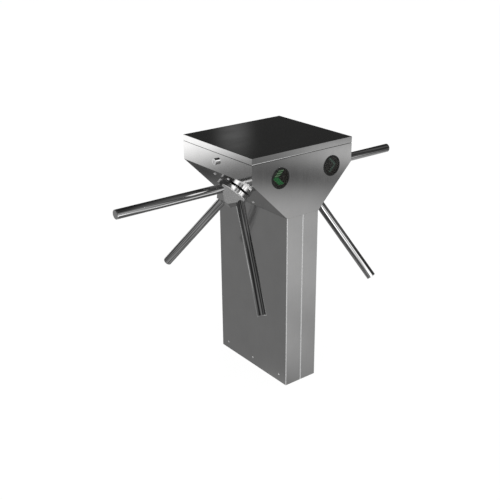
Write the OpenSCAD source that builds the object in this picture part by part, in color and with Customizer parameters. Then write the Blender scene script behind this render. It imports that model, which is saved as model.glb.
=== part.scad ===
// Waist-high tripod turnstile for two lanes: one cabinet with a three-armed tripod on each side.
// Millimetres. X runs across the lanes, Y along them and Z up. The origin is on the floor, under the middle.
// The front, where the indicators are placed first, faces -Y. The left side is the -X side.

/* [Cabinet] */
// Height from the floor to the top of the lid
total_h = 1050; // [1000:1:1120]
// Width of the head across the lanes
head_w = 515; // [500:1:545]
// Width of the pedestal across the lanes
ped_w = 165; // [150:1:175]
// Depth of the cabinet along the lanes
body_d = 466; // [440:1:520]
// Height of the upright band under the lid
fascia_h = 77; // [70:1:95]
// Height of the lid's band with its seam
lid_h = 27; // [24:1:32]
// Thickness of the stainless sheet
sheet_t = 2; // [1.5:0.1:2.5]
// Outer radius of the pedestal's folded corners
fold_r = 3; // [2.8:0.1:5]
// Depth of the lip along the upright seam
lip_d = 12; // [8:0.5:14]
// Open seam under the lid's band
lid_gap = 2.2; // [1:0.1:2.5]
// Gap between sheets and parts that meet
sheet_gap = 0.3; // [0.1:0.05:0.5]

/* [Lid] */
// Thickness of the black top panel
top_t = 4; // [3:0.5:6]
// From the lid's corners to the ends of its hinge
hinge_inset = 33; // [20:1:80]
// Width of one hinge leaf, from the pin
leaf_w = 20; // [16:1:22]
// Thickness of the hinge leaves
leaf_t = 1.2; // [1:0.1:1.6]
// Outer radius of the hinge knuckles
knuckle_r = 2.8; // [2.6:0.1:3.2]
// Radius of the hinge pin
pin_r = 1.4; // [1.2:0.1:1.6]

/* [Frame and base] */
// Thickness of the base plate
base_t = 8; // [6:1:12]
// From the pedestal's sides to the anchor holes
anchor_side = 37.5; // [36:0.5:40]
// From the pedestal's front and back to the anchor holes
anchor_end = 63; // [56:1:80]
// Radius of an anchor hole
anchor_r = 7; // [5:0.5:9]
// Side of the square frame tube
tube_w = 30; // [25:1:32]
// Wall of the square frame tube
tube_t = 2; // [1.5:0.1:3]
// Height of the frame's lower rails
rail_h = 45; // [40:1:60]
// Radius of the cable entry
cable_r = 16; // [10:0.5:20]

/* [Tripod] */
// From the point where the arms' axes meet to an arm's tip
arm_l = 560; // [480:1:600]
// Outer radius of the arm tube
arm_r = 19; // [17:0.5:20]
// Wall of the arm tube
arm_wall = 2; // [1.5:0.1:3]
// Depth of the point where the arms' axes meet, behind the slope's face
apex_depth = 16.8; // [15:0.2:18]
// From the hub's axis to the flats between its arms, at the rim
hub_flat_r = 47; // [46:0.5:49]
// Lean of the flats towards the hub's front, in degrees
hub_taper = 12; // [8:0.5:13]
// From the point where the arms' axes meet to the hub's faces that the arms leave
hub_face_l = 82; // [79:0.5:83]
// Radius of the hub's rim
rim_r = 72; // [71:0.5:76]
// Thickness of the hub's rim
rim_t = 16; // [12:0.5:18]
// Height of the hub's front over the slope, without its cap
hub_h = 70; // [68:0.5:73]
// Gap between the slope and the hub's rim
hub_gap = 5; // [4:0.25:7]
// Radius of the shaft
shaft_r = 12.5; // [11:0.5:13]

/* [Mechanism] */
// Slope bolts, distance up the slope
slope_bolt_x = 176; // [168:1:190]
// Slope bolts, distance along the lanes
slope_bolt_y = 90; // [80:1:100]
// Module of the gears
gear_m = 2.5; // [2.2:0.1:2.6]
// Teeth of the gear on the shaft
gear_teeth = 40; // [38:1:42]
// Teeth of the motor's pinion
pinion_teeth = 16; // [16:1:18]
// Face width of the gears
gear_w = 12; // [8:0.5:14]
// Radius of the locking disc
disc_r = 44; // [42:0.5:46]
// Radius of the locking pin
lock_pin_r = 4; // [3:0.25:5]
// Travel of the locking pin
lock_travel = 8; // [6:0.25:9]
// Radius of the motor's gearbox
motor_r = 26; // [22:0.5:28]

/* [Indicators and lock] */
// Place of the left indicator across the front
ind_left_x = -118.5; // [-130:0.5:-110]
// Place of the right indicator across the front
ind_right_x = 149; // [140:0.5:160]
// Height of the indicators' middle under the lid's seam
ind_drop = 75.5; // [70:0.5:80]
// Outer radius of the indicator's bezel
ind_r = 43; // [40:0.5:45]
// Place of the lock along the left band
lock_y = -2.5; // [-60:0.5:60]
// Height of the lock under the lid's seam
lock_drop = 34; // [30:0.5:40]
// Radius of the lock's collar
lock_r = 13; // [11:0.5:14]
// How far the lock's collar stands out
lock_proud = 12; // [6:0.5:14]

/* [Hidden] */
$fn = 64;
// Overrun of every cut past the face that it opens
over = 1;
// Radial clearance of running fits, and of pieces that are fitted into one another
run_gap = 0.05;
// Clearance of moving pieces that pass one another
clear_gap = 0.4;

half_w = head_w / 2;
half_ped = ped_w / 2;
half_d = body_d / 2;
run = half_w - half_ped;
seam_z = total_h - lid_h;
fold_z = seam_z - fascia_h;
neck_z = fold_z - run;
slope_x = (half_w + half_ped) / 2;
slope_z = (fold_z + neck_z) / 2;
// Turn that takes Z to the left slope's outward normal and X up the slope
slope_turn = -135;
arm_tilt = 45;
arms = 3;
arm_step = 360 / arms;
root_two = sqrt(2);

// Screws and bolts
cover_screw_head_r = 4.6;
cover_screw_head_h = 2.4;
cover_screw_r = 2.4;
cover_screw_l = 12;
cover_screw_z = 33.5;
cover_screw_inset = 48;
slope_bolt_head_r = 6.5;
slope_bolt_head_h = 4.2;
slope_bolt_r = 4;
slope_bolt_l = 9;
socket_share = 0.4;
hub_bolt_head_r = 9;
hub_bolt_head_h = 10;
hub_bolt_r = 5;
hub_bolt_l = 34;
hub_web_t = 6;
hub_pocket_r = 17;
grub_r = 4;
grub_place_r = 62;
socket_depth_share = 0.5;

// Inner frame
corner_gap = (fold_r - sheet_t) * (1 - 1 / root_two) + sheet_gap;
frame_x = half_ped - sheet_t - corner_gap;
frame_y = half_d - sheet_t - corner_gap;
lip_room = 2;
cross_w = tube_w - lip_d - lip_room;
cover_screw_y = half_d - cover_screw_inset;
anchor_x = ped_w - 2 * anchor_side;
anchor_y = body_d - 2 * anchor_end;
grommet_y = anchor_y / 2;
grommet_wall = 4;
grommet_flange = 5;
grommet_top = 3;
grommet_lift = 0.5;

// Hub and arms
arm_start = 56;
cap_t = 4;
cap_bevel = 1.2;
cap_plug_l = 12;
hub_cap_t = 4;
hub_nose_l = 40;

// Bearing housing, measured inwards from the slope's face
plate_t = 8;
plate_x = 210;
plate_y = 124;
housing_depth = 76;
housing_r = 36;
rear_plate_t = 6;
bearing_r = 26;
bearing_w = 15;
inner_ring_r = 15.5;
outer_ring_in_r = 22.5;
seal_t = 1;
seat_step = 2;
shoulder_r = 24;
collar_r = 18;
boss_r = 20;
disc_t = 6;
disc_back = 85;
notches = 2 * arms;
notch_w = 9;
notch_depth = 9;
gear_back = 96;
bore_gap = 0.02;
shaft_tail = 6;
end_gap = 0.3;

// Gear mesh
pressure_angle = 20;
backlash = 0.2;
gear_pitch_r = gear_m * gear_teeth / 2;
pinion_pitch_r = gear_m * pinion_teeth / 2;
motor_y = gear_pitch_r + pinion_pitch_r;
flank_steps = 3;
gearbox_l = 22;
motor_l = 34;
motor_step = 4;
motor_can_r = motor_r - motor_step;
output_r = 5;
output_hole_r = 8;
output_depth = 16;
plate_margin = 2;

// Solenoid
sol_gap = 16;
sol_start = disc_r + sol_gap;
sol_l = 40;
sol_w = 32;
sol_h = 24;
pin_axis = disc_back + disc_t / 2;
pin_rest_gap = 1;
pin_l = 45;

// Indicators
ind_z = seam_z - ind_drop;
bezel_proud = 2;
bezel_wall = 2.5;
bezel_rim = 3;
bezel_depth = 16;
lens_t = 3;
lens_sink = 0.5;
ledge_t = 1.5;
ledge_w = 2;
board_t = 1.6;
board_depth = 13;
board_gap = 0.2;
led_r = 1.5;
led_h = 2.5;
led_step = 4.5;
led_rows = 6;
led_half = 6;
led_tip = 28;

// Lock
lock_z = seam_z - lock_drop;
lock_body_r = 10;
lock_body_l = 20;
plug_r = 7;
plug_sink = 0.5;
plug_stub_r = 4;
plug_stub_l = 5;
key_w = 1.6;
key_h = 8;
key_depth = 6;
nut_r = 15;
nut_t = 5;
cam_l = 34;
cam_w = 12;
cam_t = 2.5;
cam_lift = 0.4;
catch_inset = 3;
catch_t = 2;
catch_from = 18;
catch_w = 16;
catch_foot = 22;
catch_gap = 1;

// Hinge
hinge_stand = 0.4;
hinge_x = half_w + knuckle_r + hinge_stand;
hinge_z = seam_z + lid_gap / 2;
hinge_l = body_d - 2 * hinge_inset;
knuckles = 9;

// Electronics on the front and rear plates, inside the head
board_w = 150;
board_h = 100;
board_x = 15;
board_drop = 22;
standoff_l = 12;
standoff_r = 3;
standoff_inset = 8;
psu_w = 120;
psu_h = 90;
psu_d = 38;
psu_drop = 34;
// Connectors along the board's top, relays and a main chip: left, right, low, high and depth
chip_shares = [
    [0.10, 0.28, 0.84, 0.95, 0.14], [0.32, 0.48, 0.84, 0.95, 0.14], [0.60, 0.88, 0.84, 0.95, 0.14],
    [0.12, 0.26, 0.42, 0.64, 0.15], [0.32, 0.46, 0.42, 0.64, 0.15], [0.58, 0.78, 0.36, 0.66, 0.03]
];
lead_board_share = 0.95;
lead_plug_share = 0.07;
bend_share = 0.3;
wire_r = 4;
wire_sides = 10;

// Helpers

// A square with round corners, from one corner to the other
module rounded_square(low, high, r) {
    translate([low.x + r, low.y])
        square([high.x - low.x - 2 * r, high.y - low.y]);
    translate([low.x, low.y + r])
        square([high.x - low.x, high.y - low.y - 2 * r]);
    for (x = [low.x + r, high.x - r], y = [low.y + r, high.y - r])
        translate([x, y])
            circle(r);
}

// A box from one corner to the other
module block(low, high) {
    translate(low)
        cube(high - low);
}

// A hollow square tube along Z
module box_tube(w, d, h, t) {
    difference() {
        cube([w, d, h]);
        translate([t, t, -over])
            cube([w - 2 * t, d - 2 * t, h + 2 * over]);
    }
}

// A dome headed screw along Z, with its seat at zero
module dome_screw(head_r, head_h, shank_r, shank_l) {
    dome_r = (head_r * head_r + head_h * head_h) / (2 * head_h);
    difference() {
        intersection() {
            cylinder(r = head_r, h = head_h);
            translate([0, 0, head_h - dome_r])
                sphere(dome_r);
        }
        translate([0, 0, head_h * socket_depth_share])
            cylinder(r = head_r * socket_share, h = head_h, $fn = 6);
    }
    translate([0, 0, -shank_l])
        cylinder(r = shank_r, h = shank_l);
}

// What is drawn for the left side, or its mirror image for the right side
module handed(right) {
    if (right)
        mirror([1, 0, 0])
            children();
    else
        children();
}

// Puts what is drawn on Z at the middle of a slope, with Z outwards and X up the slope
module on_slope(right) {
    handed(right)
        translate([-slope_x, 0, slope_z])
            rotate([0, slope_turn, 0])
                children();
}

// Puts what is drawn along Z on the axis of an arm, counted from the point where the axes meet
module on_arm(k) {
    translate([0, 0, -apex_depth])
        rotate([0, 0, arm_step * k])
            rotate([0, arm_tilt, 0])
                children();
}

// Puts what is drawn on Z at both indicators of the front, and of the rear turned half round
module at_indicators() {
    for (turn = [0, 180], x = [ind_left_x, ind_right_x])
        rotate([0, 0, turn])
            translate([x, -half_d, ind_z])
                rotate([90, 0, 0])
                    children();
}

// Puts what is drawn on Z at the lock, with Z out of the left band
module at_lock() {
    translate([-half_w, lock_y, lock_z])
        rotate([0, -90, 0])
            children();
}

// Points of a spur gear with involute flanks
function involute_turn(r, base_r) =
    let (t = sqrt(max(0, pow(r / base_r, 2) - 1)))
    t * 180 / PI - atan(t);
function flank_half(r, pitch_r, teeth) =
    let (base_r = pitch_r * cos(pressure_angle))
    90 / teeth - backlash / 2 / pitch_r * 180 / PI
        + involute_turn(pitch_r, base_r) - involute_turn(max(r, base_r), base_r);
function gear_points(teeth) =
    let (
        pitch_r = gear_m * teeth / 2,
        root_r = pitch_r - 1.25 * gear_m,
        start_r = max(root_r, pitch_r * cos(pressure_angle)),
        tip_r = pitch_r + gear_m,
        steps = [for (i = [0:flank_steps]) start_r + (tip_r - start_r) * i / flank_steps],
        radii = concat([root_r], steps),
        last = len(radii) - 1
    )
    [
        for (k = [0:teeth - 1], side = [-1, 1], i = [0:last])
            let (
                r = side < 0 ? radii[i] : radii[last - i],
                a = 360 / teeth * k + side * flank_half(r, pitch_r, teeth)
            )
            [r * cos(a), r * sin(a)]
    ];

// A tube swept along points that lie in a plane of constant X
function unit(v) = v / norm(v);
function route_rings(points) =
    let (last = len(points) - 1)
    [
        for (i = [0:last])
            let (
                along = unit(points[min(i + 1, last)] - points[max(i - 1, 0)]),
                across = unit(cross(along, [1, 0, 0])),
                third = cross(along, across)
            )
            for (k = [0:wire_sides - 1])
                points[i] + wire_r * (across * cos(360 * k / wire_sides) + third * sin(360 * k / wire_sides))
    ];
module wire(points) {
    count = len(points);
    walls = [
        for (i = [0:count - 2], k = [0:wire_sides - 1])
            let (
                n = (k + 1) % wire_sides,
                a = i * wire_sides + k,
                b = i * wire_sides + n,
                c = (i + 1) * wire_sides + n,
                d = (i + 1) * wire_sides + k
            )
            each [[a, b, c], [a, c, d]]
    ];
    ends = [
        [for (k = [wire_sides - 1:-1:0]) k],
        [for (k = [0:wire_sides - 1]) (count - 1) * wire_sides + k]
    ];
    polyhedron(route_rings(points), concat(walls, ends));
}

// Base and frame

module base_plate() {
    color("gray")
        difference() {
            block([-frame_x, -frame_y, 0], [frame_x, frame_y, base_t]);
            for (x = [-1, 1], y = [-1, 1])
                translate([x * anchor_x / 2, y * anchor_y / 2, -over])
                    cylinder(r = anchor_r, h = base_t + 2 * over);
            translate([0, grommet_y, -over])
                cylinder(r = cable_r + grommet_wall, h = base_t + 2 * over);
            for (y = [-1, 1])
                translate([0, y * half_d, base_t / 2])
                    cube([2 * (fold_r + lip_room), 2 * (lip_d + lip_room), base_t + 2 * over], center = true);
        }
}

module cable_grommet() {
    color("black")
        translate([0, grommet_y, 0])
            difference() {
                union() {
                    translate([0, 0, grommet_lift])
                        cylinder(r = cable_r + grommet_wall - run_gap, h = base_t);
                    translate([0, 0, base_t])
                        cylinder(r = cable_r + grommet_flange + grommet_wall, h = grommet_top);
                }
                cylinder(r = cable_r, h = base_t + grommet_top + over);
            }
}

module inner_frame() {
    span = 2 * (frame_y - tube_w);
    reach = 2 * (frame_x - tube_w);
    top = neck_z - tube_w;
    color("dimgray")
        difference() {
            union() {
                for (x = [-frame_x, frame_x - tube_w], y = [-frame_y, frame_y - tube_w])
                    translate([x, y, base_t])
                        box_tube(tube_w, tube_w, neck_z - base_t, tube_t);
                for (x = [-frame_x, frame_x - tube_w]) {
                    translate([x, span / 2, base_t])
                        rotate([90, 0, 0])
                            box_tube(tube_w, rail_h, span, tube_t);
                    translate([x, span / 2, top])
                        rotate([90, 0, 0])
                            box_tube(tube_w, tube_w, span, tube_t);
                }
                for (y = [-span / 2 - cross_w, span / 2])
                    translate([-reach / 2, y, neck_z])
                        rotate([0, 90, 0])
                            box_tube(tube_w, cross_w, reach, tube_t);
            }
            at_cover_screws()
                translate([0, 0, -cover_screw_l - over])
                    cylinder(r = cover_screw_r + bore_gap, h = cover_screw_l + over);
        }
}

// Puts what is drawn on Z at the screws of both side covers, with Z outwards
module at_cover_screws() {
    for (right = [false, true], y = [-cover_screw_y, 0, cover_screw_y])
        handed(right)
            translate([-half_ped, y, cover_screw_z])
                rotate([0, -90, 0])
                    children();
}

// Sheets of the cabinet

module side_cover(right) {
    edge = sheet_gap / 2;
    color("darkgray")
        difference() {
            handed(right)
                linear_extrude(neck_z - sheet_gap)
                    difference() {
                        rounded_square([-half_ped, -half_d], [-edge, half_d], fold_r);
                        rounded_square([-half_ped + sheet_t, -half_d + sheet_t],
                                       [-edge - sheet_t, half_d - sheet_t], fold_r - sheet_t);
                        translate([-edge - sheet_t - over, -half_d + lip_d])
                            square([sheet_t + 2 * over, body_d - 2 * lip_d]);
                    }
            at_cover_screws()
                translate([0, 0, -sheet_t - over])
                    cylinder(r = cover_screw_r + run_gap, h = sheet_t + 2 * over);
        }
}

module left_side_cover() {
    side_cover(false);
}

module right_side_cover() {
    side_cover(true);
}

module cover_screws() {
    color("silver")
        at_cover_screws()
            dome_screw(cover_screw_head_r, cover_screw_head_h, cover_screw_r, cover_screw_l);
}

module head_plate() {
    foot_x = half_ped - sheet_t * root_two - sheet_gap;
    difference() {
        union() {
            translate([0, -half_d + sheet_t, 0])
                rotate([90, 0, 0])
                    linear_extrude(sheet_t)
                        polygon([
                            [-half_ped, neck_z], [half_ped, neck_z], [half_w, fold_z],
                            [half_w, seam_z], [-half_w, seam_z], [-half_w, fold_z]
                        ]);
            block([-foot_x, -half_d, neck_z], [foot_x, -frame_y + tube_w, neck_z + sheet_t]);
        }
        for (x = [ind_left_x, ind_right_x])
            translate([x, -half_d - over, ind_z])
                rotate([-90, 0, 0])
                    cylinder(r = ind_r - bezel_rim + run_gap, h = sheet_t + 2 * over);
    }
}

module head_front_plate() {
    color("darkgray")
        head_plate();
}

module head_rear_plate() {
    color("darkgray")
        rotate([0, 0, 180])
            head_plate();
}

module head_sheet(right) {
    inner_fold = fold_z + sheet_t * (root_two - 1);
    length = body_d - 2 * sheet_t;
    difference() {
        handed(right)
            translate([0, length / 2, 0])
                rotate([90, 0, 0])
                    linear_extrude(length)
                        polygon([
                            [-half_w, seam_z], [-half_w, fold_z], [-half_ped, neck_z],
                            [-half_ped + sheet_t * root_two, neck_z],
                            [-half_w + sheet_t, inner_fold], [-half_w + sheet_t, seam_z]
                        ]);
        on_slope(right) {
            translate([0, 0, -sheet_t - over])
                cylinder(r = shoulder_r, h = sheet_t + 2 * over);
            at_slope_bolts()
                translate([0, 0, -sheet_t - over])
                    cylinder(r = slope_bolt_r + run_gap, h = sheet_t + 2 * over);
        }
    }
}

module left_head_sheet() {
    color("gray")
        difference() {
            head_sheet(false);
            at_lock()
                translate([0, 0, -sheet_t - over])
                    cylinder(r = lock_body_r + run_gap, h = sheet_t + 2 * over);
        }
}

module right_head_sheet() {
    color("gray")
        head_sheet(true);
}

module at_slope_bolts() {
    for (x = [-1, 1], y = [-1, 1])
        translate([x * slope_bolt_x / 2, y * slope_bolt_y / 2, 0])
            children();
}

module slope_bolts() {
    color("silver")
        for (right = [false, true])
            on_slope(right)
                at_slope_bolts()
                    dome_screw(slope_bolt_head_r, slope_bolt_head_h, slope_bolt_r, slope_bolt_l);
}

// Lid

module lid_pan() {
    low = seam_z + lid_gap;
    color("silver")
        difference() {
            block([-half_w, -half_d, low], [half_w, half_d, total_h]);
            block([-half_w + sheet_t, -half_d + sheet_t, low - over],
                  [half_w - sheet_t, half_d - sheet_t, total_h - top_t - sheet_t]);
            block([-half_w + sheet_t, -half_d + sheet_t, total_h - top_t],
                  [half_w - sheet_t, half_d - sheet_t, total_h + over]);
        }
}

module lid_top() {
    inset = sheet_t + sheet_gap;
    color("black")
        block([-half_w + inset, -half_d + inset, total_h - top_t],
              [half_w - inset, half_d - inset, total_h]);
}

module hinge_leaf(first, up) {
    step = hinge_l / knuckles;
    reach = knuckle_r + hinge_stand;
    translate([half_w, -hinge_l / 2, hinge_z])
        mirror([0, 0, up ? 0 : 1]) {
            block([0, 0, reach], [leaf_t, hinge_l, leaf_w]);
            for (i = [first:2:knuckles - 1])
                translate([0, i * step + clear_gap / 2, 0])
                    difference() {
                        union() {
                            cube([leaf_t, step - clear_gap, reach]);
                            translate([reach, 0, 0])
                                rotate([-90, 0, 0])
                                    cylinder(r = knuckle_r, h = step - clear_gap);
                        }
                        translate([reach, -over, 0])
                            rotate([-90, 0, 0])
                                cylinder(r = pin_r + run_gap, h = step + over);
                    }
        }
}

module hinge_leaf_lower() {
    color("silver")
        hinge_leaf(0, false);
}

module hinge_leaf_upper() {
    color("silver")
        hinge_leaf(1, true);
}

module hinge_pin() {
    color("silver")
        translate([hinge_x, -hinge_l / 2, hinge_z])
            rotate([-90, 0, 0])
                cylinder(r = pin_r, h = hinge_l);
}

// Lock

module lock_barrel() {
    color("silver")
        at_lock()
            difference() {
                union() {
                    cylinder(r = lock_r, h = lock_proud);
                    translate([0, 0, -lock_body_l])
                        cylinder(r = lock_body_r, h = lock_body_l);
                }
                translate([0, 0, -lock_body_l - over])
                    cylinder(r = plug_r + run_gap, h = lock_body_l + lock_proud + 2 * over);
            }
}

module lock_nut() {
    color("silver")
        at_lock()
            translate([0, 0, -sheet_t - nut_t])
                difference() {
                    cylinder(r = nut_r, h = nut_t, $fn = 6);
                    translate([0, 0, -over])
                        cylinder(r = lock_body_r + run_gap, h = nut_t + 2 * over);
                }
}

module lock_plug() {
    color("dimgray")
        at_lock()
            difference() {
                union() {
                    translate([0, 0, -lock_body_l])
                        cylinder(r = plug_r, h = lock_body_l + lock_proud - plug_sink);
                    translate([0, 0, -lock_body_l - plug_stub_l])
                        cylinder(r = plug_stub_r, h = plug_stub_l + over);
                }
                translate([0, 0, lock_proud])
                    cube([key_h, key_w, 2 * key_depth], center = true);
            }
}

module lock_cam() {
    color("silver")
        at_lock()
            translate([0, 0, -lock_body_l - cam_lift - cam_t])
                difference() {
                    union() {
                        cylinder(r = cam_w / 2, h = cam_t);
                        block([0, -cam_w / 2, 0], [cam_l, cam_w / 2, cam_t]);
                    }
                    translate([0, 0, -over])
                        cylinder(r = plug_stub_r + run_gap, h = cam_t + 2 * over);
                }
}

module lid_catch() {
    x = -half_w + sheet_t + catch_inset;
    y = lock_y + catch_from;
    foot_z = lock_z - cam_w / 2 - catch_gap;
    top = total_h - top_t - sheet_t;
    color("silver") {
        block([x, y, foot_z - catch_t], [x + catch_t, y + catch_w, top]);
        for (z = [foot_z, top])
            block([x, y, z - catch_t], [x + catch_foot, y + catch_w, z]);
    }
}

// Indicators

module indicator_bezels() {
    barrel_r = ind_r - bezel_rim;
    bore_r = barrel_r - bezel_wall;
    in_r = bore_r - ledge_w;
    front = bezel_proud - lens_sink - lens_t;
    back = board_t - board_depth;
    color("black")
        at_indicators()
            rotate_extrude()
                polygon([
                    [bore_r, bezel_proud], [ind_r, bezel_proud], [ind_r, 0], [barrel_r, 0],
                    [barrel_r, -bezel_depth], [bore_r, -bezel_depth], [bore_r, back], [in_r, back],
                    [in_r, back + ledge_t], [bore_r, back + ledge_t], [bore_r, front - ledge_t],
                    [in_r, front - ledge_t], [in_r, front], [bore_r, front]
                ]);
}

module indicator_lenses() {
    color("darkslategray")
        at_indicators()
            translate([0, 0, bezel_proud - lens_sink - lens_t])
                cylinder(r = ind_r - bezel_rim - bezel_wall - board_gap, h = lens_t);
}

// An arrow of lamps on a round board. The arrow of the left indicator points left and the other one right
module led_boards() {
    board_r = ind_r - bezel_rim - bezel_wall - board_gap;
    color("darkgreen")
        for (turn = [0, 180], way = [-1, 1])
            rotate([0, 0, turn])
                translate([way < 0 ? ind_left_x : ind_right_x, -half_d, ind_z])
                    rotate([90, 0, 0])
                        translate([0, 0, -board_depth]) {
                            cylinder(r = board_r, h = board_t);
                            for (row = [0:led_rows - 1], i = [-led_half:led_half])
                                translate([way * (led_tip - (abs(i) + row) * led_step),
                                           i * led_step, board_t - led_h / 2])
                                    cylinder(r = led_r, h = led_h + led_h / 2);
                        }
}

// Electronics

module control_board() {
    y = -half_d + sheet_t;
    z = seam_z - board_drop - board_h;
    low_x = board_x - board_w / 2;
    face = y + standoff_l + board_t;
    color("darkgreen") {
        difference() {
            block([low_x, y + standoff_l, z], [low_x + board_w, face, z + board_h]);
            for (x = [standoff_inset, board_w - standoff_inset], h = [standoff_inset, board_h - standoff_inset])
                translate([low_x + x, y, z + h])
                    rotate([-90, 0, 0])
                        cylinder(r = standoff_r / 2, h = standoff_l + 2 * board_t);
        }
        for (x = [standoff_inset, board_w - standoff_inset], h = [standoff_inset, board_h - standoff_inset])
            translate([low_x + x, y, z + h])
                rotate([-90, 0, 0])
                    cylinder(r = standoff_r, h = standoff_l);
    }
    color("black")
        board_parts(low_x, face, z);
}

module board_parts(low_x, face, z) {
    for (c = chip_shares)
        block([low_x + c[0] * board_w, face, z + c[2] * board_h],
              [low_x + c[1] * board_w, face + c[4] * board_h, z + c[3] * board_h]);
}

module power_supply() {
    y = half_d - sheet_t;
    z = seam_z - psu_drop - psu_h;
    color("silver")
        block([-board_x - psu_w / 2, y - psu_d, z], [-board_x + psu_w / 2, y, z + psu_h]);
}

// Lead from the power supply over the bearing housings to the control board
module wiring_loom() {
    rear_y = half_d - sheet_t - psu_d / 2;
    front_y = -half_d + sheet_t + standoff_l + board_t + board_h * lead_plug_share;
    rear_z = seam_z - psu_drop + sheet_gap;
    front_z = seam_z - board_drop - board_h * (1 - lead_board_share) + sheet_gap;
    top_z = seam_z - 3 * wire_r;
    bend = 3 * wire_r;
    ease = bend * bend_share;
    color("black")
        wire([
            [0, rear_y, rear_z], [0, rear_y, top_z - bend], [0, rear_y - ease, top_z - ease],
            [0, rear_y - bend, top_z], [0, front_y + bend, top_z],
            [0, front_y + ease, top_z - ease], [0, front_y, top_z - bend], [0, front_y, front_z]
        ]);
}

// Bearing housing and what it carries

module housing(right) {
    start = sheet_t + plate_t + seat_step;
    motor_end = motor_y + motor_r + plate_margin;
    rear_x = housing_r + plate_margin;
    color("lightgray")
        on_slope(right)
            difference() {
                union() {
                    translate([0, 0, -sheet_t - plate_t / 2])
                        cube([plate_x, plate_y, plate_t], center = true);
                    translate([0, 0, -housing_depth])
                        cylinder(r = housing_r, h = housing_depth - sheet_t - over);
                    block([-rear_x, -sol_start - sol_l, -housing_depth],
                          [rear_x, motor_end, -housing_depth + rear_plate_t]);
                }
                translate([0, 0, -housing_depth])
                    cylinder(r = shoulder_r, h = housing_depth);
                translate([0, 0, -start - bearing_w])
                    cylinder(r = bearing_r + bore_gap, h = bearing_w);
                translate([0, 0, -housing_depth - over])
                    cylinder(r = bearing_r + bore_gap, h = bearing_w + over);
                translate([0, motor_y, -housing_depth - over])
                    cylinder(r = output_hole_r, h = rear_plate_t + 2 * over);
                at_slope_bolts()
                    translate([0, 0, -sheet_t - plate_t - over])
                        cylinder(r = slope_bolt_r + bore_gap, h = plate_t + 2 * over);
            }
}

module bearing_outers() {
    start = sheet_t + plate_t + seat_step;
    seal_r = inner_ring_r + end_gap;
    color("silver")
        for (right = [false, true], back = [start + bearing_w, housing_depth])
            on_slope(right)
                translate([0, 0, -back])
                    rotate_extrude()
                        polygon([
                            [bearing_r, 0], [bearing_r, bearing_w], [seal_r, bearing_w],
                            [seal_r, bearing_w - seal_t], [outer_ring_in_r, bearing_w - seal_t],
                            [outer_ring_in_r, seal_t], [seal_r, seal_t], [seal_r, 0]
                        ]);
}

module bearing_inners(right) {
    start = sheet_t + plate_t + seat_step;
    color("silver")
        on_slope(right)
            for (back = [start + bearing_w, housing_depth])
                translate([0, 0, -back])
                    difference() {
                        cylinder(r = inner_ring_r, h = bearing_w);
                        translate([0, 0, -over])
                            cylinder(r = shaft_r + bore_gap, h = bearing_w + 2 * over);
                    }
}

module shaft(right) {
    tail = gear_back + gear_w + shaft_tail;
    front = hub_gap + hub_nose_l;
    collar_back = sheet_t + plate_t + seat_step - end_gap;
    color("silver")
        on_slope(right)
            difference() {
                union() {
                    translate([0, 0, -tail])
                        cylinder(r = shaft_r, h = tail + front);
                    translate([0, 0, -collar_back])
                        cylinder(r = collar_r, h = collar_back + hub_gap);
                }
                translate([0, 0, front - hub_bolt_l])
                    cylinder(r = hub_bolt_r, h = hub_bolt_l + over);
            }
}

// Disc with a notch every half arm step, so that the pin can also stop an arm half way
module lock_disc(right) {
    color("dimgray")
        on_slope(right)
            difference() {
                union() {
                    translate([0, 0, -disc_back - disc_t])
                        cylinder(r = disc_r, h = disc_t);
                    translate([0, 0, -disc_back - disc_t])
                        cylinder(r = boss_r, h = disc_back + disc_t - housing_depth - end_gap);
                }
                translate([0, 0, -gear_back - over])
                    cylinder(r = shaft_r + bore_gap, h = gear_back);
                for (k = [0:notches - 1])
                    rotate([0, 0, 360 / notches * k - 90])
                        translate([disc_r - notch_depth, -notch_w / 2, -disc_back - disc_t - over])
                            cube([notch_depth + over, notch_w, disc_t + 2 * over]);
            }
}

module shaft_gear(right) {
    boss_l = gear_back - disc_back - disc_t - end_gap;
    color("goldenrod")
        on_slope(right)
            translate([0, 0, -gear_back - gear_w])
                difference() {
                    union() {
                        rotate([0, 0, 90])
                            linear_extrude(gear_w)
                                polygon(gear_points(gear_teeth));
                        cylinder(r = boss_r, h = gear_w + boss_l);
                    }
                    translate([0, 0, -over])
                        cylinder(r = shaft_r + bore_gap, h = gear_w + boss_l + 2 * over);
                }
}

module pinion(right) {
    inner_end = gear_back + gear_w;
    outer_end = housing_depth - rear_plate_t - output_depth;
    color("dimgray")
        on_slope(right)
            translate([0, motor_y, -inner_end]) {
                rotate([0, 0, 270 + 180 / pinion_teeth])
                    linear_extrude(gear_w)
                        polygon(gear_points(pinion_teeth));
                cylinder(r = output_r, h = inner_end - outer_end);
            }
}

module gear_motors() {
    color("dimgray")
        for (right = [false, true])
            on_slope(right)
                translate([0, motor_y, -housing_depth + rear_plate_t])
                    difference() {
                        union() {
                            cylinder(r = motor_r, h = gearbox_l);
                            cylinder(r = motor_can_r, h = gearbox_l + motor_l);
                        }
                        translate([0, 0, -over])
                            cylinder(r = output_r + run_gap, h = output_depth + end_gap + over);
                    }
}

module solenoids() {
    color("dimgray")
        for (right = [false, true])
            on_slope(right)
                difference() {
                    block([-sol_w / 2, -sol_start - sol_l, -housing_depth - sol_h],
                          [sol_w / 2, -sol_start, -housing_depth]);
                    translate([0, -sol_start + over, -pin_axis])
                        rotate([90, 0, 0])
                            cylinder(r = lock_pin_r + run_gap, h = sol_l + over - sheet_t);
                }
}

module lock_pin(right) {
    color("silver")
        on_slope(right)
            translate([0, -disc_r - pin_rest_gap, -pin_axis])
                rotate([90, 0, 0])
                    cylinder(r = lock_pin_r, h = pin_l);
}

// Hub and arms

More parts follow.
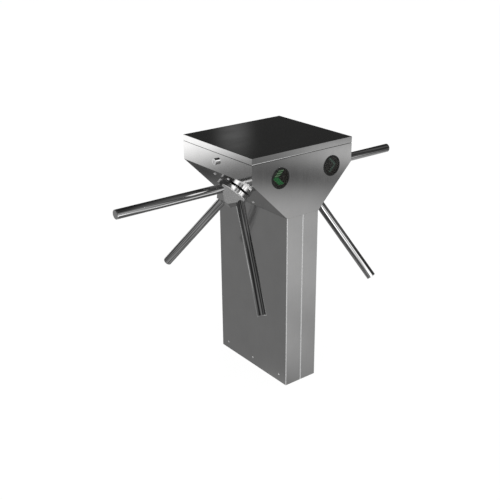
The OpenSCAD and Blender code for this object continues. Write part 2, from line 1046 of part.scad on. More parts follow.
// Three leaning flats between the arms, with the corners cut square to each arm
module hub_body(low, high) {
    far = rim_r + hub_h;
    difference() {
        translate([0, 0, low])
            cylinder(r = rim_r, h = high - low);
        for (k = [0:arms - 1]) {
            on_arm(k)
                translate([0, 0, hub_face_l])
                    block([-far, -far, 0], [far, far, far]);
            rotate([0, 0, arm_step * (k + 0.5)])
                translate([hub_flat_r, 0, hub_gap + rim_t])
                    rotate([0, -hub_taper, 0])
                        block([0, -far, -far], [far, far, far]);
        }
    }
}

module hub(right) {
    color("silver")
        on_slope(right)
            difference() {
                union() {
                    translate([0, 0, hub_gap])
                        cylinder(r = rim_r, h = rim_t);
                    hub_body(hub_gap, hub_h);
                }
                for (k = [0:arms - 1]) {
                    on_arm(k)
                        translate([0, 0, arm_start - end_gap])
                            cylinder(r = arm_r + run_gap, h = arm_l);
                    rotate([0, 0, arm_step * k])
                        translate([grub_place_r, 0, 0])
                            cylinder(r = grub_r + bore_gap, h = hub_gap + rim_t);
                }
                cylinder(r = shaft_r + bore_gap, h = hub_gap + hub_nose_l + end_gap);
                cylinder(r = hub_bolt_r + run_gap, h = hub_h);
                translate([0, 0, hub_gap + hub_nose_l + hub_web_t])
                    cylinder(r = hub_pocket_r, h = hub_h);
            }
}

module hub_bolt(right) {
    seat = hub_gap + hub_nose_l + hub_web_t;
    color("dimgray")
        on_slope(right)
            translate([0, 0, seat]) {
                difference() {
                    cylinder(r = hub_bolt_head_r, h = hub_bolt_head_h);
                    translate([0, 0, hub_bolt_head_h * socket_depth_share])
                        cylinder(r = hub_bolt_r, h = hub_bolt_head_h, $fn = 6);
                }
                translate([0, 0, -hub_bolt_l])
                    cylinder(r = hub_bolt_r - bore_gap, h = hub_bolt_l);
            }
}

module hub_cap(right) {
    color("silver")
        on_slope(right) {
            hub_body(hub_h, hub_h + hub_cap_t);
            translate([0, 0, hub_h - hub_web_t])
                cylinder(r = hub_pocket_r - run_gap, h = hub_web_t);
        }
}

module arm(right, k) {
    color("gainsboro")
        on_slope(right)
            on_arm(k)
                translate([0, 0, arm_start])
                    difference() {
                        cylinder(r = arm_r, h = arm_l - cap_t - arm_start);
                        translate([0, 0, -over])
                            cylinder(r = arm_r - arm_wall, h = arm_l);
                    }
}

module arm_caps(right) {
    color("gainsboro")
        on_slope(right)
            for (k = [0:arms - 1])
                on_arm(k)
                    translate([0, 0, arm_l - cap_t]) {
                        cylinder(r = arm_r, h = cap_t - cap_bevel);
                        translate([0, 0, cap_t - cap_bevel])
                            cylinder(r1 = arm_r, r2 = arm_r - cap_bevel, h = cap_bevel);
                        translate([0, 0, -cap_plug_l])
                            cylinder(r = arm_r - arm_wall - run_gap, h = cap_plug_l);
                    }
}

module arm_screws(right) {
    tip = grub_place_r - grub_r - apex_depth - arm_r * root_two - end_gap;
    color("dimgray")
        on_slope(right)
            for (k = [0:arms - 1])
                rotate([0, 0, arm_step * k])
                    translate([grub_place_r, 0, hub_gap + end_gap])
                        difference() {
                            cylinder(r = grub_r, h = tip - hub_gap - end_gap);
                            translate([0, 0, -over])
                                cylinder(r = grub_r / 2, h = grub_r + over, $fn = 6);
                        }
}

base_plate();
cable_grommet();
inner_frame();
left_side_cover();
right_side_cover();
cover_screws();
head_front_plate();
head_rear_plate();
left_head_sheet();
right_head_sheet();
lid_pan();
lid_top();
hinge_leaf_lower();
hinge_leaf_upper();
hinge_pin();
lock_barrel();
lock_nut();
lock_plug();
lock_cam();
lid_catch();
indicator_bezels();
indicator_lenses();
led_boards();
control_board();
power_supply();
wiring_loom();
slope_bolts();
bearing_outers();
solenoids();
gear_motors();
housing(false);  // left_housing
shaft(false);  // left_shaft
bearing_inners(false);  // left_bearing_inners
lock_disc(false);  // left_lock_disc
shaft_gear(false);  // left_shaft_gear
pinion(false);  // left_pinion
lock_pin(false);  // left_lock_pin
hub(false);  // left_hub
hub_bolt(false);  // left_hub_bolt
hub_cap(false);  // left_hub_cap
arm(false, 0);  // left_arm_1
arm(false, 1);  // left_arm_2
arm(false, 2);  // left_arm_3
arm_caps(false);  // left_arm_caps
arm_screws(false);  // left_arm_screws
housing(true);  // right_housing
shaft(true);  // right_shaft
bearing_inners(true);  // right_bearing_inners
lock_disc(true);  // right_lock_disc
shaft_gear(true);  // right_shaft_gear
pinion(true);  // right_pinion
lock_pin(true);  // right_lock_pin
hub(true);  // right_hub
hub_bolt(true);  // right_hub_bolt
hub_cap(true);  // right_hub_cap
arm(true, 0);  // right_arm_1
arm(true, 1);  // right_arm_2
arm(true, 2);  // right_arm_3
arm_caps(true);  // right_arm_caps
arm_screws(true);  // right_arm_screws
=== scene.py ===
import math

import bmesh
import bpy
from mathutils import Matrix, Vector


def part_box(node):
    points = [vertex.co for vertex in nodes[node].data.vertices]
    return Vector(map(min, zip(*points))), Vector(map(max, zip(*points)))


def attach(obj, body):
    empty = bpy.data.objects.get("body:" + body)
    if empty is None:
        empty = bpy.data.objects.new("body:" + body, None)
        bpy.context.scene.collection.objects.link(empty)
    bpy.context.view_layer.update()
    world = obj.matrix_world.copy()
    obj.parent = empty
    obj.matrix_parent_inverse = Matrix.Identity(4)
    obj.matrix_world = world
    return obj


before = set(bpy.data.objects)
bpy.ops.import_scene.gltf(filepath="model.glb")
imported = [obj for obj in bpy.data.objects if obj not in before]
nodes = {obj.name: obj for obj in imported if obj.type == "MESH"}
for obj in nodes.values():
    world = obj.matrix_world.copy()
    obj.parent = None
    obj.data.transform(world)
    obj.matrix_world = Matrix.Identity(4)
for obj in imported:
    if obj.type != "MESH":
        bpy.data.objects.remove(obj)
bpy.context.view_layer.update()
scene = bpy.context.scene


# Camera at the photograph's angle, in degrees and metres

AZIMUTH = -37.291
ELEVATION = 22.854
ROLL = -0.563
DISTANCE = 3.53925
TARGET = Vector((0, 0, 0.5))
SHIFT_RIGHT = -0.074107
SHIFT_UP = 0.036265
CLIP_END = 100
SENSOR_MM = 36
FOCAL_PX = 810.152
IMAGE_PX = 500


def add_camera():
    a = math.radians(AZIMUTH)
    e = math.radians(ELEVATION)
    r = math.radians(ROLL)
    back = Vector((math.sin(a) * math.cos(e), -math.cos(a) * math.cos(e), math.sin(e)))
    level = Vector((math.cos(a), math.sin(a), 0))
    rise = back.cross(level)
    right = level * math.cos(r) + rise * math.sin(r)
    up = rise * math.cos(r) - level * math.sin(r)
    data = bpy.data.cameras.new("camera")
    data.sensor_width = SENSOR_MM
    data.lens = FOCAL_PX / IMAGE_PX * SENSOR_MM
    data.clip_end = CLIP_END
    camera = bpy.data.objects.new("camera", data)
    place = TARGET + back * DISTANCE + right * SHIFT_RIGHT + up * SHIFT_UP
    axes = Matrix((right, up, back)).transposed().to_4x4()
    camera.matrix_world = Matrix.Translation(place) @ axes
    scene.collection.objects.link(camera)
    scene.camera = camera


# Building blocks of the materials and of the studio

class Tree:
    """A node tree, with short ways to add nodes, links and sums to it."""

    def __init__(self, tree):
        self.tree = tree

    def node(self, kind, **settings):
        made = self.tree.nodes.new(kind)
        for key, value in settings.items():
            setattr(made, key, value)
        return made

    def link(self, out, into):
        self.tree.links.new(out, into)

    def maths(self, kind, first, second=0.0):
        made = self.node("ShaderNodeMath", operation=kind)
        for value, into in ((first, made.inputs[0]), (second, made.inputs[1])):
            if isinstance(value, (int, float)):
                into.default_value = value
            else:
                self.link(value, into)
        return made.outputs["Value"]

    def sum_of(self, *values):
        total = values[0]
        for value in values[1:]:
            total = self.maths("ADD", total, value)
        return total

    def product(self, *values):
        total = values[0]
        for value in values[1:]:
            total = self.maths("MULTIPLY", total, value)
        return total


class Shader(Tree):
    """A material with its principled shader and the object's coordinates."""

    def __init__(self, name, **inputs):
        self.name = name
        self.material = bpy.data.materials.new(name)
        self.material.use_nodes = True
        super().__init__(self.material.node_tree)
        self.bsdf = self.tree.nodes["Principled BSDF"]
        self.place = self.node("ShaderNodeTexCoord").outputs["Object"]
        for key, value in inputs.items():
            self.bsdf.inputs[key.replace("_", " ")].default_value = value

    def axes(self):
        parts = self.node("ShaderNodeSeparateXYZ")
        self.link(self.place, parts.inputs["Vector"])
        return parts.outputs["X"], parts.outputs["Y"], parts.outputs["Z"]

    def mapped(self, kind, scale, rotation=(0, 0, 0)):
        """The object's coordinates, scaled and turned."""
        mapping = self.node("ShaderNodeMapping", vector_type=kind)
        mapping.inputs["Scale"].default_value = scale
        mapping.inputs["Rotation"].default_value = rotation
        self.link(self.place, mapping.inputs["Vector"])
        return mapping.outputs["Vector"]

    def noise(self, scale, detail=3.0, rough=0.55, place=None):
        """Noise of that many cells a metre."""
        made = self.node("ShaderNodeTexNoise")
        made.inputs["Scale"].default_value = scale
        made.inputs["Detail"].default_value = detail
        made.inputs["Roughness"].default_value = rough
        self.link(place or self.place, made.inputs["Vector"])
        return made.outputs["Fac"]

    def spread(self, value, low, high, start=0.3, end=0.7):
        """A value between start and end, spread over low to high."""
        made = self.node("ShaderNodeMapRange")
        numbers = {"From Min": start, "From Max": end, "To Min": low, "To Max": high}
        for key, number in numbers.items():
            made.inputs[key].default_value = number
        self.link(value, made.inputs["Value"])
        return made.outputs["Result"]

    def tones(self, value, low, high, start=0.3, end=0.7):
        """A value between start and end, as a colour between low and high."""
        made = self.node("ShaderNodeValToRGB")
        for element, position, tone in zip(made.color_ramp.elements, (start, end), (low, high)):
            element.position = position
            element.color = (*tone, 1)
        self.link(value, made.inputs["Fac"])
        return made.outputs["Color"]

    def mixed(self, first, second, share=0.5):
        made = self.node("ShaderNodeMix", data_type="FLOAT")
        made.inputs["Factor"].default_value = share
        self.link(first, made.inputs["A"])
        self.link(second, made.inputs["B"])
        return made.outputs["Result"]

    def colour(self, output):
        self.link(output, self.bsdf.inputs["Base Color"])

    def roughness(self, output):
        self.link(output, self.bsdf.inputs["Roughness"])

    def bump(self, value, strength, depth):
        made = self.node("ShaderNodeBump")
        made.inputs["Strength"].default_value = strength
        made.inputs["Distance"].default_value = depth
        self.link(value, made.inputs["Height"])
        self.link(made.outputs["Normal"], self.bsdf.inputs["Normal"])

    def painted_highlight(self, mask):
        """Painted highlight: where the mask is 1, the metal is painted a paler and duller tone."""
        base = self.bsdf.inputs["Base Color"].links[0].from_socket
        mix = self.node("ShaderNodeMix", data_type="RGBA")
        self.link(mask, mix.inputs["Factor"])
        self.link(base, mix.inputs["A"])
        pale = self.tones(self.noise(HIGHLIGHT_CELLS), grey(HIGHLIGHT_TONE * 0.9), grey(HIGHLIGHT_TONE))
        self.link(pale, mix.inputs["B"])
        self.colour(mix.outputs["Result"])
        metal = self.maths("SUBTRACT", 1.0, self.product(mask, HIGHLIGHT_DULL))
        self.link(metal, self.bsdf.inputs["Metallic"])


def grey(value, warm=0.0):
    return (value * (1 + warm), value, value * (1 - warm))


# Finishes, with texture scales in cells a metre and sizes in metres

GRAIN_CELLS = 900
SMUDGE_CELLS = 34
BROAD_CELLS = 9
STEEL_WARMTH = 0.004
GRAIN_DEPTH = 0.00002
UPRIGHT_GRAIN = (1, 1, 0.012)
LEVEL_GRAIN = (0.012, 0.012, 1)
MARK_CELLS = 60
WIPE_CELLS = 220
# Painted highlight on folds, rims, cut edges and screw heads: noise cells, pale tone and loss of
# metal
HIGHLIGHT_CELLS = 120
HIGHLIGHT_TONE = 0.95
HIGHLIGHT_DULL = 0.9
# Width of the painted highlight band along the upright folds of the side covers
FOLD_R = 0.0026
# Height, depth and fade of the painted highlight on the lid's lower rim
RIM_H = 0.0022
RIM_DEPTH = 0.0012
RIM_FADE = (-0.12, 0.14)
# Scale of the painted reflection streaks along the arm tubes
TUBE_CELLS = 210
TUBE_STRETCH = 60
COAT_CELLS = 25
COAT_ROUGH = 0.08


def brushed_steel(name, tone, rough, grain=(1, 1, 1)):
    """Bright steel with fine grain lines, faint smudges and a little change of tone."""
    s = Shader(name, Metallic=1.0)
    lines = s.noise(GRAIN_CELLS, 2.0, 0.6, s.mapped("POINT", grain))
    broad = s.noise(BROAD_CELLS, 4.0, 0.6)
    smudge = s.noise(SMUDGE_CELLS, 5.0, 0.65)
    dark = grey(tone * 0.94, STEEL_WARMTH)
    light = grey(tone * 1.05, STEEL_WARMTH)
    s.colour(s.tones(s.mixed(lines, broad, 0.6), dark, light))
    s.roughness(s.spread(s.mixed(lines, smudge), *rough))
    s.bump(lines, 0.25, GRAIN_DEPTH)
    return s


def cover_steel(tone, rough):
    """Sheet steel with a painted highlight: painted pale along the upright folds at the corners and
    at the seam.
    """
    s = brushed_steel("cover_steel", tone, rough, UPRIGHT_GRAIN)
    x, y = (s.maths("ABSOLUTE", value) for value in s.axes()[:2])
    low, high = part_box("left_side_cover")
    corner = s.maths("GREATER_THAN", x, -low.x - FOLD_R)
    seam = s.maths("LESS_THAN", x, -high.x + FOLD_R)
    outside = s.maths("GREATER_THAN", y, high.y - FOLD_R)
    # Painted highlight along the corner and seam folds
    s.painted_highlight(s.product(s.maths("MAXIMUM", corner, seam), outside))
    return s


def lid_steel(tone, rough):
    """Band of the lid with a painted highlight: painted pale along its lower rim at the front and
    the rear, fading out towards +X.
    """
    s = brushed_steel("lid_steel", tone, rough, LEVEL_GRAIN)
    x, y, z = s.axes()
    low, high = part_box("lid_pan")
    rim = s.maths("LESS_THAN", z, low.z + RIM_H)
    ends = s.maths("GREATER_THAN", s.maths("ABSOLUTE", y), high.y - RIM_DEPTH)
    # Painted highlight on the lower rim, fading out towards +X
    s.painted_highlight(s.product(rim, ends, s.spread(x, 1.0, 0.0, *RIM_FADE)))
    return s


def polished_steel(name, tone, rough):
    """Mirror-like steel with faint handling marks."""
    s = Shader(name, Metallic=1.0)
    marks = s.noise(MARK_CELLS, 6.0, 0.7)
    wipe = s.noise(WIPE_CELLS, 3.0, 0.6, s.mapped("POINT", (0.25, 1, 1)))
    s.colour(s.tones(marks, grey(tone * 0.97), grey(tone * 1.02)))
    s.roughness(s.spread(s.mixed(marks, wipe), *rough))
    s.bump(marks, 0.08, 0.00003)
    return s


def edge_and_screw_highlight():
    """Painted highlight on cut edges and screw heads: painted paler, duller and less metallic than
    the sheet.
    """
    s = Shader("edge_and_screw_highlight", Metallic=0.15)
    painted_highlight = s.noise(HIGHLIGHT_CELLS, 4.0, 0.6)
    # Painted highlight: a pale colour that shows as bright lines and dots
    s.colour(s.tones(painted_highlight, grey(0.80), grey(0.92)))
    s.roughness(s.spread(painted_highlight, 0.3, 0.42))
    s.bump(painted_highlight, 0.1, GRAIN_DEPTH)
    return s


def tube_axis(obj):
    """Direction of a straight tube, from the middles of its two ends."""
    points = [v.co for v in obj.data.vertices]
    middle = sum(points, Vector()) / len(points)
    tip = max(points, key=lambda p: (p - middle).length) - middle
    near, far = ([p for p in points if (p - middle).dot(tip) * way > 0] for way in (1, -1))
    return (sum(near, Vector()) / len(near) - sum(far, Vector()) / len(far)).normalized()


def tube_steel(obj, low, high):
    """Chromed tube with painted reflection streaks: dark and light lines in its colour that run
    along it.
    """
    s = Shader(obj.name + "_steel", Metallic=1.0)
    turn = Vector((0, 0, 1)).rotation_difference(tube_axis(obj)).to_euler()
    along = s.mapped("TEXTURE", (1, 1, TUBE_STRETCH), turn)
    lines = s.noise(TUBE_CELLS, 1.0, 0.5, along)
    # Painted reflection streaks: dark and light lines in the chrome's colour along the tube
    s.colour(s.tones(lines, grey(low), grey(high), 0.40, 0.58))
    s.roughness(s.spread(s.noise(MARK_CELLS, 6.0, 0.7), 0.03, 0.06))
    s.bump(lines, 0.12, 0.00004)
    return s


def plain_coat(name, low, high, rough, cells, depth, metallic=0.0):
    """Paint, plastic or rubber: fine texture, faint colour change and uneven gloss."""
    s = Shader(name, Metallic=metallic, Coat_Roughness=COAT_ROUGH)
    fine = s.noise(cells, 4.0, 0.6)
    broad = s.noise(COAT_CELLS, 4.0, 0.6)
    s.colour(s.tones(s.mixed(fine, broad, 0.6), low, high))
    s.roughness(s.spread(broad, *rough))
    s.bump(fine, 0.3, depth)
    return s


def top_panel():
    """Glossy black panel with a little dust and broad wipe marks."""
    s = Shader("top_panel", IOR=1.45, Specular_IOR_Level=0.5)
    dust = s.noise(420, 5.0, 0.7)
    wipe = s.noise(7, 4.0, 0.6, s.mapped("POINT", (1, 2.2, 1)))
    s.colour(s.tones(s.mixed(dust, wipe), (0.020, 0.020, 0.0193), (0.026, 0.026, 0.0251)))
    s.roughness(s.spread(wipe, 0.09, 0.12))
    s.bump(dust, 0.02, GRAIN_DEPTH)
    return s


def lens_glass():
    """Smoked lens that the lamps shine through."""
    s = Shader("lens_glass", IOR=1.49, Alpha=0.45)
    haze = s.noise(COAT_CELLS, 2.0, 0.5)
    s.colour(s.tones(haze, (0.034, 0.033, 0.029), (0.040, 0.038, 0.034)))
    s.roughness(s.spread(haze, 0.05, 0.08))
    return s


def circuit_board():
    """Green board with cells that stand for its tracks."""
    s = Shader("circuit_board")
    cells = s.node("ShaderNodeTexVoronoi", feature="DISTANCE_TO_EDGE")
    cells.inputs["Scale"].default_value = 120
    s.link(s.place, cells.inputs["Vector"])
    tracks = (0.020, 0.110, 0.055)
    mask = (0.010, 0.055, 0.030)
    s.colour(s.tones(cells.outputs["Distance"], tracks, mask, 0.04, 0.09))
    s.roughness(s.spread(s.noise(80), 0.3, 0.45))
    return s


def lamp_glow(name, tint):
    """Small lamp that glows in its tint."""
    s = Shader(name, Emission_Strength=1.0)
    cells = s.noise(GRAIN_CELLS, 2.0, 0.5)
    dark, dim, low = ([c * share for c in tint] for share in (0.4, 0.6, 0.8))
    s.colour(s.tones(cells, dark, dim))
    s.link(s.tones(cells, low, tint), s.bsdf.inputs["Emission Color"])
    s.roughness(s.spread(cells, 0.25, 0.4))
    return s.material


# Coats: low and high colour, roughness, cells a metre, bump in metres, share of metal
COATS = {
    "cast_aluminium": ((0.36, 0.36, 0.37), (0.48, 0.48, 0.49), (0.38, 0.55), 700, 0.0002, 1.0),
    "gear_brass": ((0.60, 0.42, 0.16), (0.72, 0.53, 0.24), (0.22, 0.34), 500, 0.00005, 1.0),
    "frame_paint": ((0.020, 0.021, 0.022), (0.032, 0.033, 0.034), (0.4, 0.55), 900, 0.0002),
    "motor_paint": ((0.010, 0.010, 0.011), (0.020, 0.020, 0.021), (0.3, 0.45), 600, 0.0001),
    "bezel_plastic": ((0.007, 0.0075, 0.007), (0.014, 0.015, 0.014), (0.28, 0.4), 1400, 0.00004),
    "board_mask": ((0.009, 0.014, 0.011), (0.013, 0.020, 0.016), (0.3, 0.4), 900, 0.00005),
    "cable_sheath": ((0.010, 0.010, 0.010), (0.018, 0.018, 0.018), (0.4, 0.5), 500, 0.0001),
    "grommet_rubber": ((0.010, 0.010, 0.010), (0.022, 0.022, 0.022), (0.6, 0.75), 800, 0.0002),
}

# Which finish each node wears; a node that is on both sides goes without left_ or right_
WORN = {
    "base_plate": "frame_paint",
    "cable_grommet": "grommet_rubber",
    "inner_frame": "frame_paint",
    "side_cover": "cover_steel",
    # cover_screws and slope_bolts wear the painted highlight of edges and screw heads
    "cover_screws": "edge_and_screw_highlight",
    "head_front_plate": "sheet_steel",
    "head_rear_plate": "sheet_steel",
    "head_sheet": "sheet_steel",
    "lid_pan": "lid_steel",
    "lid_top": "top_panel",
    "hinge_leaf_lower": "screw_steel",
    "hinge_leaf_upper": "screw_steel",
    "hinge_pin": "bright_steel",
    "lock_barrel": "arm_steel",
    "lock_nut": "zinc_plate",
    "lock_plug": "hub_steel",
    "lock_cam": "zinc_plate",
    "lid_catch": "zinc_plate",
    "indicator_bezels": "bezel_plastic",
    "indicator_lenses": "lens_glass",
    "led_boards": "board_mask",
    "control_board": "circuit_board",
    "power_supply": "zinc_plate",
    "wiring_loom": "cable_sheath",
    "slope_bolts": "edge_and_screw_highlight",
    "bearing_outers": "bright_steel",
    "solenoids": "motor_paint",
    "gear_motors": "motor_paint",
    "housing": "cast_aluminium",
    "shaft": "bright_steel",
    "bearing_inners": "bright_steel",
    "lock_disc": "zinc_plate",
    "shaft_gear": "gear_brass",
    "pinion": "bright_steel",
    "lock_pin": "bright_steel",
    "hub": "hub_steel",
    "hub_bolt": "screw_steel",
    "hub_cap": "hub_steel",
    "arm_caps": "arm_steel",
    "arm_screws": "screw_steel",
}
ARM_TUBES = ("arm_1", "arm_2", "arm_3")
# Dark and light tones of the painted reflection streaks on the arm tubes
ARM_STREAK_TONES = (0.24, 0.92)

# Width of each node's bevel in metres, and the nodes whose bevel wears a painted highlight
EDGES = {
    "head_front_plate": 0.0011, "head_rear_plate": 0.0011, "lid_pan": 0.001,
    "left_head_sheet": 0.0004, "right_head_sheet": 0.0004, "lid_top": 0.0004,
    "left_side_cover": 0.0007, "right_side_cover": 0.0007,
    "left_hub": 0.0009, "right_hub": 0.0009, "lock_barrel": 0.0006,
}
HIGHLIGHT_EDGES = ("head_front_plate", "head_rear_plate", "left_side_cover", "right_side_cover")
EDGE_ANGLE = 32


def make_finishes():
    made = [
        brushed_steel("sheet_steel", 0.57, (0.07, 0.12), UPRIGHT_GRAIN),
        cover_steel(0.57, (0.07, 0.12)),
        lid_steel(0.60, (0.09, 0.14)),
        brushed_steel("hub_steel", 0.66, (0.11, 0.17)),
        brushed_steel("screw_steel", 0.66, (0.14, 0.22)),
        brushed_steel("zinc_plate", 0.52, (0.3, 0.42)),
        polished_steel("arm_steel", 0.78, (0.03, 0.06)),
        polished_steel("bright_steel", 0.72, (0.10, 0.2)),
        edge_and_screw_highlight(),
        top_panel(),
        lens_glass(),
        circuit_board(),
    ]
    made += [plain_coat(name, *values) for name, values in COATS.items()]
    return {s.name: s.material for s in made}


def dress(finishes):
    for name, obj in nodes.items():
        key = name if name in WORN else name.split("_", 1)[1]
        if key in ARM_TUBES:
            material = tube_steel(obj, *ARM_STREAK_TONES).material
        else:
            material = finishes[WORN[key]]
        for slot in obj.material_slots:
            slot.material = material


def soften_edges(edge_highlight):
    """A fine bevel, so that edges catch the light as folded and cut metal does. On some nodes the
    bevel wears the painted highlight material.
    """
    for name, width in EDGES.items():
        bevel = nodes[name].modifiers.new("edge", "BEVEL")
        bevel.width = width
        bevel.segments = 2
        bevel.limit_method = "ANGLE"
        bevel.angle_limit = math.radians(EDGE_ANGLE)
        bevel.harden_normals = False
        # The bevel faces of these nodes get the painted highlight material
        if name in HIGHLIGHT_EDGES:
            nodes[name].data.materials.append(edge_highlight)
            bevel.material = len(nodes[name].material_slots) - 1


# Lamps of the indicators, in metres

LAMP_STEP = 0.0045
LAMP_HALF = 6
LAMP_TIP = 0.028
LAMP_R = 0.0020
LIT_X = -0.1185
LIT_COLUMNS = 6
DIM_X = 0.149
DIM_COLUMNS = 2


def lamp_shade(row):
    """Rows up to the middle wear the first material, the rows above it the other two in turn."""
    return 0 if row <= 0 else 1 + (row + 1) % 2


def add_lamps(name, centre, way, columns, materials):
    """An arrow of round lamps that points to -X (way -1) or to +X (way 1)."""
    mesh = bmesh.new()
    for row in range(-LAMP_HALF, LAMP_HALF + 1):
        for column in range(columns):
            side = way * (LAMP_TIP - (abs(row) + column) * LAMP_STEP)
            place = Matrix.Translation(centre + Vector((side, 0, row * LAMP_STEP)))
            lamp = bmesh.ops.create_icosphere(mesh, subdivisions=2, radius=LAMP_R, matrix=place)
            for vertex in lamp["verts"]:
                for face in vertex.link_faces:
                    face.material_index = lamp_shade(row)
    for face in mesh.faces:
        face.smooth = True
    data = bpy.data.meshes.new(name)
    mesh.to_mesh(data)
    mesh.free()
    for material in materials:
        data.materials.append(material)
    lamps = bpy.data.objects.new(name, data)
    scene.collection.objects.link(lamps)
    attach(lamps, "cabinet")


def add_indicators():
    """At the front and at the rear, a lit arrow to the left and a dim one to the right."""
    lit = [
        lamp_glow("lamp_lit", (0.02, 0.30, 0.08)),
        lamp_glow("lamp_low", (0.02, 0.15, 0.045)),
        lamp_glow("lamp_pale", (0.30, 0.52, 0.30)),
    ]
    dim = [lamp_glow("lamp_dim", (0.10, 0.19, 0.15))] * 3
    low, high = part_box("led_boards")
    middle = (low.z + high.z) / 2
    for end, turn in (("front", 1), ("rear", -1)):
        left = Vector((turn * LIT_X, turn * low.y, middle))
        right = Vector((turn * DIM_X, turn * low.y, middle))
        add_lamps(end + "_left_lamps", left, -turn, LIT_COLUMNS, lit)
        add_lamps(end + "_right_lamps", right, turn, DIM_COLUMNS, dim)


# Floor, world and key lamp of the studio

FLOOR_HALF = 40
FLOOR_PALE = 0.8
FLOOR_SEEN_GLOW = 0.95
FLOOR_SEEN_SHARE = 0.86

# Soft round areas of the floor as the metal mirrors it: middle, reach along X and Y, what each adds
FLOOR_LEVEL = 0.23
FLOOR_AREAS = [
    ((-1.90, 3.51), (2.98, 1.20), 1.62),
    ((0.60, -1.64), (1.43, 2.10), 0.44),
    ((2.56, -2.68), (1.06, 0.65), 0.68),
    ((0.05, -1.29), (0.41, 1.49), 0.39),
    ((2.16, -2.63), (0.83, 0.60), -0.40),
    ((1.53, -1.85), (0.72, 0.77), 0.17),
    ((0.28, 1.50), (0.12, 0.60), -0.20),
    ((1.35, 0.30), (0.40, 0.40), 0.30),
    ((-2.55, -3.20), (0.75, 0.65), 3.20),
    ((-0.35, -3.90), (0.70, 2.40), 3.20),
    ((0.16, -2.00), (0.30, 1.10), 2.20),
    ((-3.00, 14.0), (7.00, 9.00), 1.20),
    ((4.40, -4.00), (1.60, 1.20), 0.60),
]

# Soft glows of the walls as the metal mirrors them: azimuth, elevation, inner and outer reach in
# degrees, and what each adds
WALL_LEVEL = 0.044
WALL_GLOWS = [
    (36.2, 14.7, 0.3, 1.8, 0.40),
    (-138, 26, 8, 22, 2.10),
    (-165, 5, 1, 8, 0.96),
    (-174, 30, 8, 18, 1.12),
    (168, 2, 7, 16, 1.28),
    (143, 20.5, 1, 3.5, 12.80),
    (-150, 0, 12, 34, 0.30),
    (153, 7, 4, 12, 0.28),
    (148, 28, 4, 16, 0.12),
    (125, 30, 20, 60, 0.04),
    (-130, 57, 10, 26, 0.10),
    (-46, 5, 6, 22, 0.11),
    (-4, 5, 6, 22, 0.48),
]
WORLD_LIGHT = 0.53

KEY_PLACE = Vector((-2.0, -4.6, 3.4))
KEY_TARGET = Vector((0, 0, 0.6))
KEY_SIZE = 2.6
KEY_POWER = 60


class Studio(Tree):
    """The node tree of the floor or of the world, with what tells the rays apart."""

    def __init__(self, tree):
        super().__init__(tree)
        tree.nodes.clear()
        ray = self.node("ShaderNodeLightPath").outputs
        self.seen = self.maths("MAXIMUM", ray["Is Camera Ray"], ray["Is Transmission Ray"])
        self.mirrored = ray["Is Glossy Ray"]

    def fall(self, value, near, far):
        """1 at near and nearer, 0 at far and beyond."""
        made = self.node("ShaderNodeMapRange", interpolation_type="SMOOTHSTEP")
        numbers = {"From Min": near, "From Max": far, "To Min": 1.0, "To Max": 0.0}
        for key, number in numbers.items():
            made.inputs[key].default_value = number
        self.link(value, made.inputs["Value"])
        return made.outputs["Result"]

    def diffuse(self, value):
        made = self.node("ShaderNodeBsdfDiffuse")
        made.inputs["Color"].default_value = (value, value, value, 1)
        return made.outputs["BSDF"]


def floor_mirror(s):
    """How bright each place of the floor is in the metal."""
    place = s.node("ShaderNodeTexCoord").outputs["Object"]
    level = FLOOR_LEVEL
    for centre, reach, gain in FLOOR_AREAS:
        shift = s.node("ShaderNodeMapping", vector_type="TEXTURE")
        shift.inputs["Location"].default_value = (*centre, 0)
        shift.inputs["Scale"].default_value = (*reach, 1)
        s.link(place, shift.inputs["Vector"])
        length = s.node("ShaderNodeVectorMath", operation="LENGTH")
        s.link(shift.outputs["Vector"], length.inputs[0])
        level = s.sum_of(level, s.product(s.fall(length.outputs["Value"], 0, 1), gain))
    return level


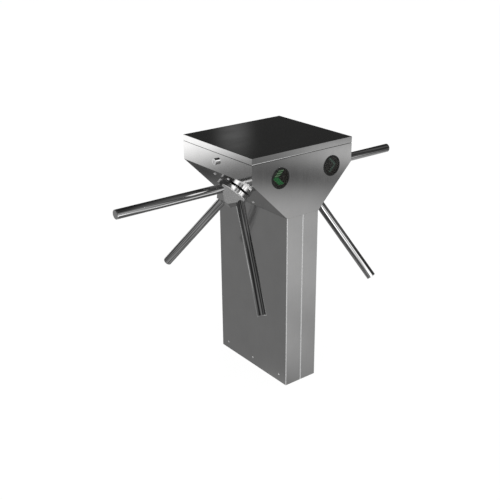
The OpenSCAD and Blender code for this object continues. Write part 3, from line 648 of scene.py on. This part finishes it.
def add_floor():
    """White to the camera, with the object's shadow, and soft areas in what the metal mirrors."""
    mesh = bpy.data.meshes.new("floor")
    corners = [(x * FLOOR_HALF, y * FLOOR_HALF, 0) for x, y in ((-1, -1), (1, -1), (1, 1), (-1, 1))]
    mesh.from_pydata(corners, [], [(0, 1, 2, 3)])
    floor = bpy.data.objects.new("floor", mesh)
    scene.collection.objects.link(floor)
    material = bpy.data.materials.new("floor")
    material.use_nodes = True
    mesh.materials.append(material)
    s = Studio(material.node_tree)
    glow = s.node("ShaderNodeEmission")
    strength = s.sum_of(s.product(s.seen, FLOOR_SEEN_GLOW), s.product(s.mirrored, floor_mirror(s)))
    s.link(strength, glow.inputs["Strength"])
    mix = s.node("ShaderNodeMixShader")
    share = s.maths("SUBTRACT", 1.0, s.product(s.seen, FLOOR_SEEN_SHARE))
    s.link(s.maths("SUBTRACT", share, s.mirrored), mix.inputs["Fac"])
    s.link(s.diffuse(0), mix.inputs[1])
    s.link(s.diffuse(FLOOR_PALE), mix.inputs[2])
    both = s.node("ShaderNodeAddShader")
    s.link(mix.outputs["Shader"], both.inputs[0])
    s.link(glow.outputs["Emission"], both.inputs[1])
    s.link(both.outputs["Shader"], s.node("ShaderNodeOutputMaterial").inputs["Surface"])


def wall_mirror(s):
    """How bright each direction of the world is in the metal."""
    direction = s.node("ShaderNodeTexCoord").outputs["Generated"]
    level = WALL_LEVEL
    for azimuth, elevation, inner, outer, gain in WALL_GLOWS:
        a = math.radians(azimuth)
        e = math.radians(elevation)
        middle = (math.sin(a) * math.cos(e), math.cos(a) * math.cos(e), math.sin(e))
        dot = s.node("ShaderNodeVectorMath", operation="DOT_PRODUCT")
        dot.inputs[1].default_value = middle
        s.link(direction, dot.inputs[0])
        angle = s.maths("ARCCOSINE", dot.outputs["Value"])
        fall = s.fall(angle, math.radians(inner), math.radians(outer))
        level = s.sum_of(level, s.product(fall, gain))
    return level


def add_world():
    """White to the camera, soft glows to the metal, and an even light to all else."""
    world = bpy.data.worlds.new("studio")
    scene.world = world
    world.use_nodes = True
    s = Studio(world.node_tree)
    other = s.maths("SUBTRACT", s.maths("SUBTRACT", 1.0, s.seen), s.mirrored)
    light = s.product(s.maths("MAXIMUM", other, 0.0), WORLD_LIGHT)
    background = s.node("ShaderNodeBackground")
    background.inputs["Color"].default_value = (1, 1, 1, 1)
    strength = s.sum_of(s.seen, s.product(s.mirrored, wall_mirror(s)), light)
    s.link(strength, background.inputs["Strength"])
    s.link(background.outputs["Background"], s.node("ShaderNodeOutputWorld").inputs["Surface"])


def add_key_lamp():
    data = bpy.data.lights.new("key", "AREA")
    data.shape = "RECTANGLE"
    data.size = KEY_SIZE
    data.size_y = KEY_SIZE
    data.energy = KEY_POWER
    lamp = bpy.data.objects.new("key", data)
    lamp.location = KEY_PLACE
    lamp.rotation_euler = (KEY_TARGET - KEY_PLACE).to_track_quat("-Z", "Y").to_euler()
    lamp.visible_glossy = False
    scene.collection.objects.link(lamp)


add_camera()
finishes = make_finishes()
dress(finishes)
soften_edges(finishes["edge_and_screw_highlight"])
add_indicators()
add_floor()
add_world()
add_key_lamp()

scene.view_settings.view_transform = "Standard"
